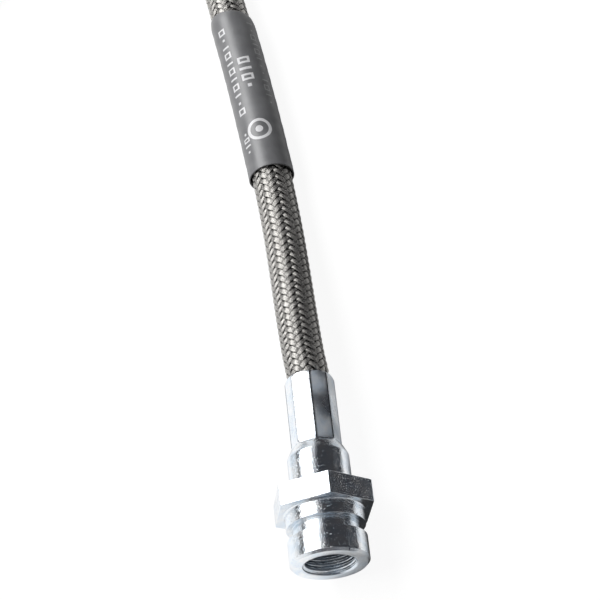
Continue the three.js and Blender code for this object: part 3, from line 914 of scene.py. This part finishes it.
def mark_row(start, end, degrees, half_height, pitch, line, seed):
    """A printed row of plain bars, dots and boxes, picked by a fixed random number for each cell."""
    along, across = on_sleeve(start, degrees)
    cells = calc(tree, "DIVIDE", along, pitch)
    in_cell = product(tree, calc(tree, "SUBTRACT", calc(tree, "FRACT", cells), 0.5), pitch)
    pick = add(tree, "ShaderNodeTexWhiteNoise", {"noise_dimensions": "1D"},
               W=total(tree, calc(tree, "FLOOR", cells), seed)).outputs["Value"]

    def block(half_width, half_tall):
        return product(tree, within(in_cell, half_width), within(across, half_tall))

    half_box, wall = BOX_SHARE * pitch, BOX_LINES * line
    bar, dot = block(line, half_height), block(DOT_LINES * line, DOT_LINES * line)
    inside = block(half_box - wall, half_height - wall)
    box = calc(tree, "SUBTRACT", block(half_box, half_height), inside)
    not_dot = blend_number(tree, calc(tree, "GREATER_THAN", pick, BOX_ABOVE), bar, box)
    mark = blend_number(tree, calc(tree, "GREATER_THAN", pick, DOT_BELOW), dot, not_dot)
    half_row = (end - start) / 2
    from_middle = calc(tree, "ABSOLUTE", calc(tree, "SUBTRACT", along, half_row))
    return product(tree, mark, calc(tree, "LESS_THAN", from_middle, half_row))


def circle(radius, line):
    """A plain printed circle, or a dot when its line is as wide as its radius."""
    along, across = on_sleeve(CIRCLE_START, CIRCLE_DEGREES)
    square = total(tree, product(tree, along, along), product(tree, across, across))
    return within(calc(tree, "SUBTRACT", calc(tree, "SQRT", square), radius), line)


long_row = mark_row(14.3, 38.5, -20, 0.85, 2.2, 0.24, 3.0)
bold_row = mark_row(20.0, 29.2, 19, 1.3, 2.3, 0.33, 12.0)
faint_row = mark_row(15.5, 39.5, 66, 0.75, 2.0, 0.16, 23.0)
small_row = mark_row(4.4, 10.4, -27, 0.8, 1.5, 0.2, 41.0)
all_print = largest(tree, long_row, bold_row, small_row, circle(2.3, 0.34), circle(0.4, 0.4),
                    product(tree, faint_row, FAINT))
dark = blend_colour(tree, clouds, PLASTIC_DARK, PLASTIC_PALE)
fill(tree, shader, Base_Color=blend_colour(tree, all_print, dark, PRINT),
     Roughness=remap(tree, clouds, 0.3, 0.7, 0.36, 0.48), Specular_IOR_Level=1.0)
cloud_bump = bump(tree, shader, clouds, 0.18 * MM, 0.5)
bump(tree, shader, grain, 0.01 * MM, 0.4, under=cloud_bump)

for piece, material in ((wire_braid, stainless), (inner_tube, rubber), (sleeve, plastic),
                        (pipe_fitting, zinc), (eye_fitting, zinc)):
    piece.data.materials.clear()
    piece.data.materials.append(material)
for node in ("chassis_stem", "eye_stem"):
    for material_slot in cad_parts[node].material_slots:
        material_slot.material = stem_steel
print("materials", [m.name for m in bpy.data.materials])

# %% [markdown]
# The hose lies on a plain pale floor under a white sky. Both look white to the camera through Light
# Path, while the light that falls on the object stays at a plain level. The floor still takes a soft
# shadow. The metal mirrors the floor close to it, and in the photograph that floor is bright to the
# left, in front and in a patch to the right, and dark under the right side of the port. So these
# zones are given their own brightness, for reflections only. Each zone is a product of numbers that
# rise or fall between two distances from the port, in millimetres.

# %% Floor and sky
FLOOR_HALF_SIZE = 4.0
FLOOR_GLOW, FLOOR_COLOUR, FLOOR_IN_METAL = 0.915, 0.18, 0.86
SKY_SEEN, SKY_LIGHT = 1.0, 0.17
WHITE = (1, 1, 1, 1)

floor_bm = bmesh.new()
bmesh.ops.create_grid(floor_bm, x_segments=1, y_segments=1, size=FLOOR_HALF_SIZE)
floor = as_object("floor", floor_bm)

floor_paint, tree, shader = new_material("floor")
rays = add(tree, "ShaderNodeLightPath").outputs
floor_place = object_place(tree)
floor_axes = add(tree, "ShaderNodeSeparateXYZ", Vector=floor_place).outputs


def rightward(low, high, to_low=0.0, to_high=1.0):
    """A number that changes between two distances to the right of the port's axis."""
    return remap(tree, floor_axes["X"], PORT_X + low * MM, PORT_X + high * MM, to_low, to_high)


def onward(low, high, to_low=0.0, to_high=1.0):
    """A number that changes between two distances behind the port's face."""
    return remap(tree, floor_axes["Y"], PORT_Y + low * MM, PORT_Y + high * MM, to_low, to_high)


away = add(tree, "ShaderNodeVectorMath", {"operation": "LENGTH"})
fill_socket(tree, away.inputs[0], floor_place)
by_port = product(tree, onward(-2, 1), onward(10, 13, 1, 0))
under_right = product(tree, by_port, rightward(0, 4, 0, 0.85), rightward(8, 10, 1, 0))
zones = (
    remap(tree, away.outputs["Value"], 0.05, 0.5, 0.0, 0.7),
    product(tree, by_port, rightward(-4, -10, 0, 0.35)),
    rightward(-9, -22, 0, 0.58),
    product(tree, rightward(9, 13, 0, 0.45), onward(-2, 4), onward(28, 33, 1, 0)),
    product(tree, rightward(5, 7, 0, 0.35), rightward(9, 12, 1, 0), onward(20, 26),
            onward(46, 56, 1, 0)),
    product(tree, rightward(5, -8, 0, 0.5), onward(1, -2)),
)
in_metal = product(tree, FLOOR_IN_METAL, calc(tree, "SUBTRACT", 1.0, under_right))
shade = blend_number(tree, rays["Is Glossy Ray"], FLOOR_COLOUR, in_metal)
grey = add(tree, "ShaderNodeCombineColor", Red=shade, Green=shade, Blue=shade).outputs["Color"]
fill(tree, shader, Base_Color=grey, Roughness=1.0, Specular_IOR_Level=0.0)
strength = total(tree, product(tree, rays["Is Camera Ray"], FLOOR_GLOW),
                 product(tree, rays["Is Glossy Ray"], largest(tree, *zones)))
glow = add(tree, "ShaderNodeEmission", Color=WHITE, Strength=strength)
both = add(tree, "ShaderNodeAddShader")
fill_socket(tree, both.inputs[0], shader.outputs["BSDF"])
fill_socket(tree, both.inputs[1], glow.outputs["Emission"])
fill(tree, tree.nodes["Material Output"], Surface=both.outputs["Shader"])
floor.data.materials.append(floor_paint)

world = bpy.data.worlds.new("sky")
bpy.context.scene.world = world
world.use_nodes = True
sky = world.node_tree
rays = add(sky, "ShaderNodeLightPath").outputs
seen = calc(sky, "ADD", calc(sky, "ADD", rays["Is Camera Ray"], rays["Is Glossy Ray"]),
            rays["Is Transmission Ray"], clamp=True)
fill(sky, sky.nodes["Background"], Color=WHITE,
     Strength=total(sky, product(sky, seen, SKY_SEEN - SKY_LIGHT), SKY_LIGHT))
print("floor brightness zones", len(zones))

# %% [markdown]
# The reflections on the metal tell how the studio was set: one broad softbox above and to the left of
# the hose, a narrow dark edge beyond it, and dark surroundings to the right. One area lamp is the
# softbox. Bent cards round the line of the fitting, two upright cards before and behind it and one low
# over the bench at its right are the rest. All cards are seen only in reflections.

# %% Softbox and cards
STUDIO = Vector(in_frame([0, 40, 8]))
LAMP_ANGLE, LAMP_AWAY, LAMP_AHEAD = math.radians(-27), 1.0, 0.7
LAMP_WIDTH, LAMP_LENGTH, LAMP_RADIANCE = 0.66, 1.6, 3.9
CARD_START, CARD_END, CARD_STEPS = -0.6, 3.0, 24
CARD_BLUE = 1.08


def round_the_line(angle, away, ahead):
    """A place in metres at an angle from straight up, towards the right, round the fitting."""
    return STUDIO + Vector((math.sin(angle) * away, ahead, math.cos(angle) * away))


light = bpy.data.lights.new("softbox", "AREA")
light.shape = "RECTANGLE"
light.size, light.size_y = LAMP_WIDTH, LAMP_LENGTH
light.energy = LAMP_RADIANCE * math.pi * LAMP_WIDTH * LAMP_LENGTH
softbox = bpy.data.objects.new("softbox", light)
bpy.context.scene.collection.objects.link(softbox)
softbox.location = round_the_line(LAMP_ANGLE, LAMP_AWAY, LAMP_AHEAD)
softbox.rotation_euler = (0, LAMP_ANGLE, 0)


def only_in_reflections(name, bm, shade):
    """The bmesh as a dark card that the camera and the lamps don't see."""
    item = as_object(name, bm)
    item.visible_camera = False
    item.visible_diffuse = False
    item.visible_shadow = False
    item.visible_transmission = False
    paint, tree, shader = new_material(name)
    dark = add(tree, "ShaderNodeEmission", Color=(shade, shade, shade * CARD_BLUE, 1), Strength=1.0)
    fill(tree, tree.nodes["Material Output"], Surface=dark.outputs["Emission"])
    item.data.materials.append(paint)


def bent_card(name, first_degrees, last_degrees, away, shade):
    """A bent sheet round the line of the fitting."""
    bm = bmesh.new()
    bmesh.ops.create_grid(bm, x_segments=CARD_STEPS, y_segments=1, size=1.0)
    for vertex in bm.verts:
        share, end_share = (vertex.co.x + 1) / 2, (vertex.co.y + 1) / 2
        angle = math.radians(first_degrees + share * (last_degrees - first_degrees))
        vertex.co = round_the_line(angle, away, CARD_START + end_share * (CARD_END - CARD_START))
    only_in_reflections(name, bm, shade)


def flat_card(name, corners, shade):
    """A flat sheet with its corners in pairs, left and right, in millimetres from the port."""
    bm = bmesh.new()
    bmesh.ops.create_grid(bm, x_segments=1, y_segments=len(corners) // 2 - 1, size=1.0)
    for vertex, corner in zip(bm.verts, corners):
        vertex.co = in_frame(corner)
    only_in_reflections(name, bm, shade)


bent_card("dark_right", 7, 89.6, 1.25, 0.055)
bent_card("dark_left", -66, -43, 1.25, 0.01)
bent_card("grey_right", 6, 14, 1.22, 0.2)
flat_card("dark_bench", [(27, -600, 0.5), (1250, -600, 0.5), (27, 52, 0.5), (1250, 52, 0.5),
                         (10, 66, 0.5), (1250, 66, 0.5), (10, 3000, 0.5), (1250, 3000, 0.5)], 0.06)
flat_card("dark_front", [(-380, -700, 60), (1200, -700, 20), (-380, -700, 900), (1200, -700, 900)], 0.14)
flat_card("dark_ahead", [(0, 3000, 1), (1300, 3000, 1), (0, 3000, 1300), (1300, 3000, 1300)], 0.06)
bpy.context.scene.view_settings.view_transform = "Standard"
print("lamp energy", round(light.energy, 2))
